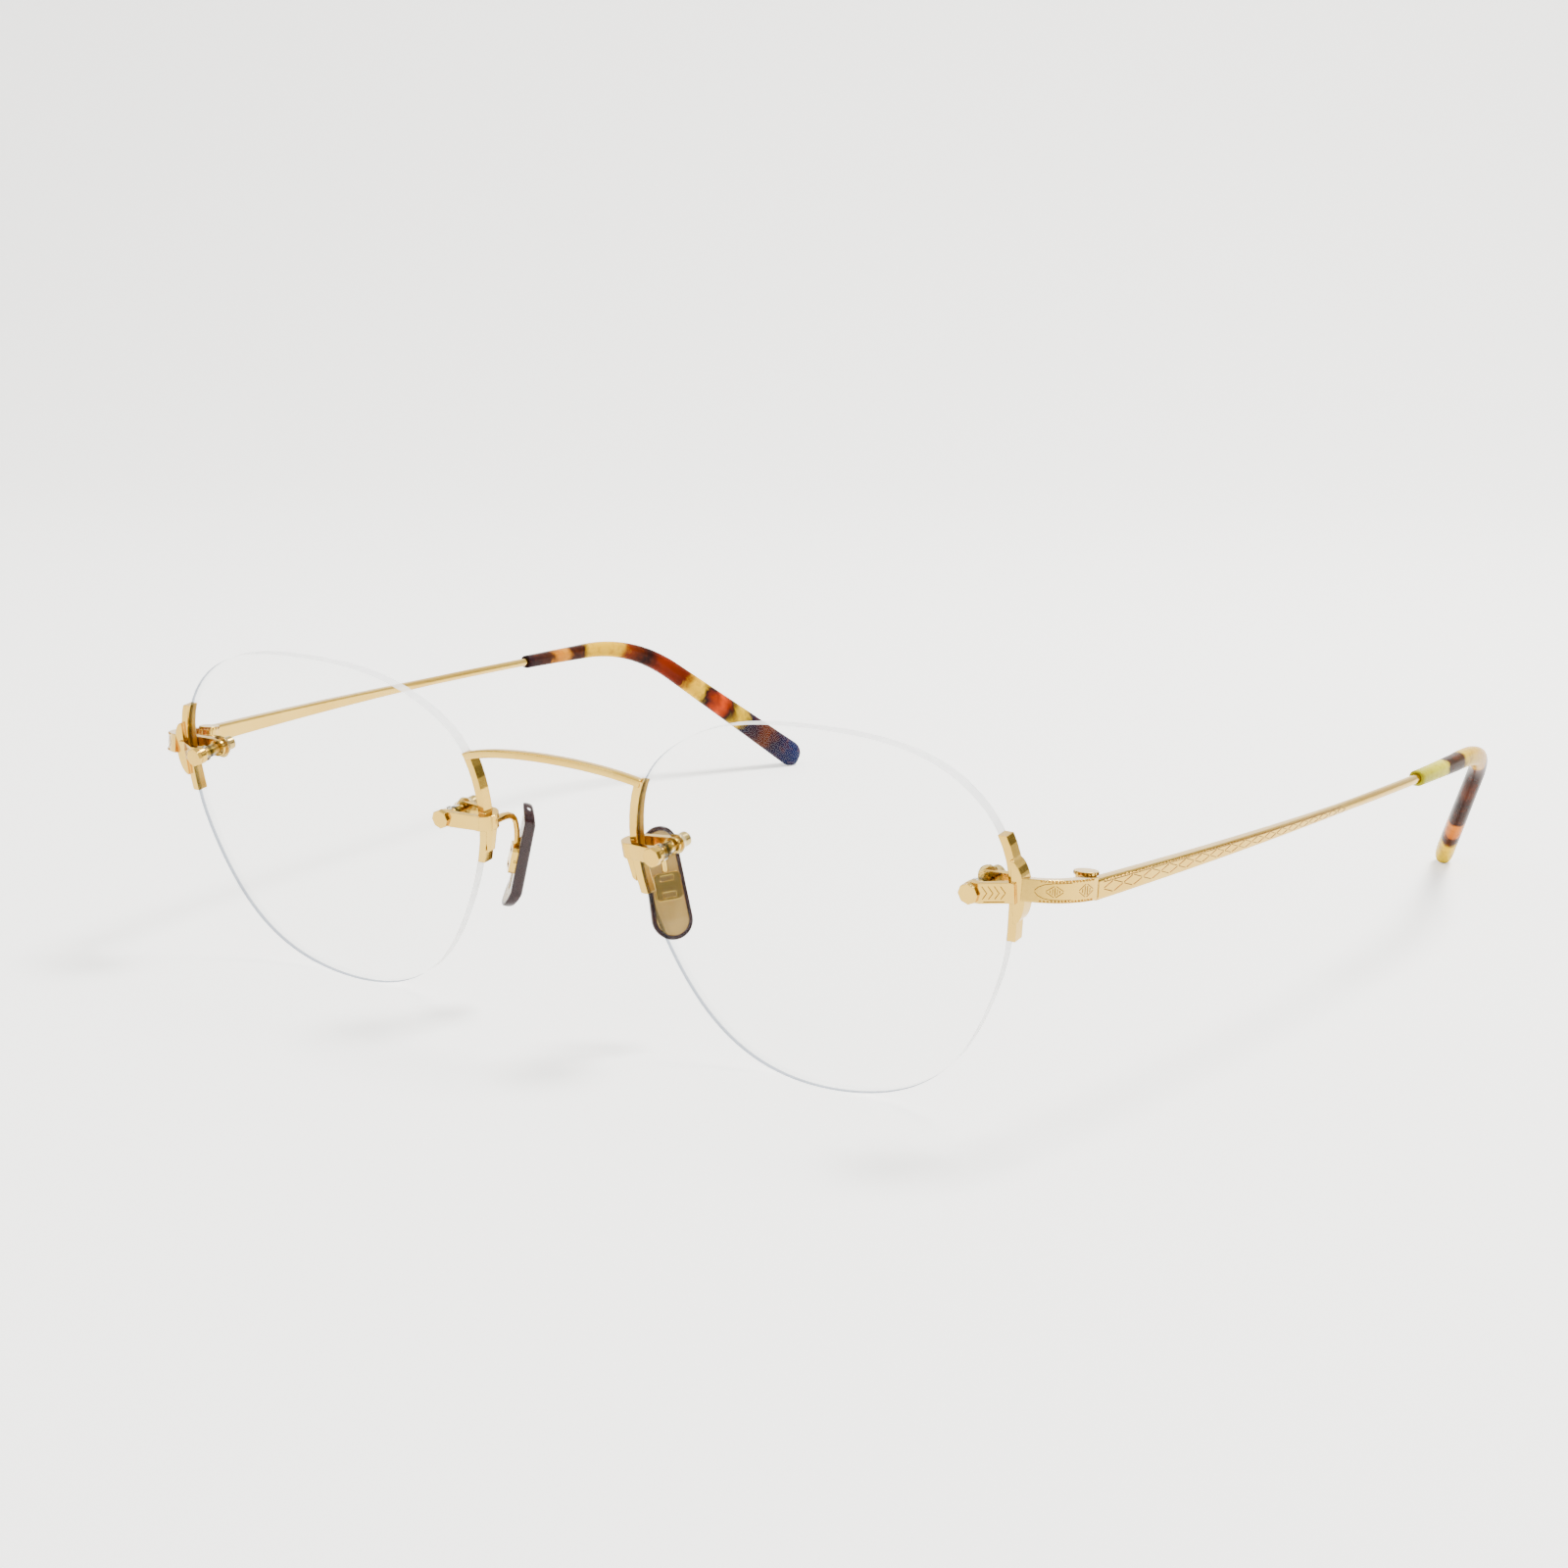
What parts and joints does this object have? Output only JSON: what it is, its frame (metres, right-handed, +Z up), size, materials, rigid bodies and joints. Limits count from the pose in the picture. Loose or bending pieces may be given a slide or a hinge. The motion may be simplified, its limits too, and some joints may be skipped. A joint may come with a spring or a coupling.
{
  "type": "rimless eyeglasses",
  "caption": "Rimless eyeglasses: drilled clear lenses, screwed gold mounts, arched bridge, engraved folding temples with tortoise tips, rocking nose pads.",
  "frame": {"origin": "centre of the bounding box at the surface the open glasses stand on", "axes": "+X towards the wearer's left, +Y back along the temples, +Z up"},
  "size_m": [0.1458, 0.1436, 0.041],
  "materials": {
    "lens": "clear polished",
    "gold": "polished gold plate",
    "clear_washer": "clear",
    "pad": "translucent smoke brown",
    "tortoise": "polished tortoise acetate"
  },
  "bodies": {
    "front": {"bridge": "gold", "lens_left": "lens", "lens_right": "lens", "nasal_shoe_left": "gold", "nasal_shoe_right": "gold", "temporal_shoe_left": "gold", "temporal_shoe_right": "gold", "endpiece_left": "gold", "endpiece_right": "gold", "lens_screws": "gold", "lens_nuts": "gold", "lens_washers": "clear_washer", "lens_bushings": "clear_washer", "hinge_screws": "gold", "pad_arm_left": "gold", "pad_arm_right": "gold", "pad_box_left": "gold", "pad_box_right": "gold", "pad_pins": "gold"},
    "left_temple": {"temple_left": "gold", "temple_tip_left": "tortoise"},
    "right_temple": {"temple_right": "gold", "temple_tip_right": "tortoise"},
    "left_pad": {"nose_pad_left": "pad", "pad_stud_left": "gold"},
    "right_pad": {"nose_pad_right": "pad", "pad_stud_right": "gold"}
  },
  "joints": [
    {"name": "temple_left_fold", "type": "hinge", "parent": "front", "child": "left_temple", "pos_m": [0.06244, -0.06162, 0.0264], "axis": [0, 0.0698, 0.9976], "range_deg": [0, 90]},
    {"name": "temple_right_fold", "type": "hinge", "parent": "front", "child": "right_temple", "pos_m": [-0.06244, -0.06162, 0.0264], "axis": [0, -0.0698, -0.9976], "range_deg": [0, 70]},
    {"name": "pad_left_rock", "type": "hinge", "parent": "front", "child": "left_pad", "pos_m": [0.01113, -0.06239, 0.01834], "axis": [0.6634, 0.7368, 0.1305], "range_deg": [-4, 4]},
    {"name": "pad_right_rock", "type": "hinge", "parent": "front", "child": "right_pad", "pos_m": [-0.01113, -0.06239, 0.01834], "axis": [0.6634, -0.7368, -0.1305], "range_deg": [-4, 4]}
  ]
}
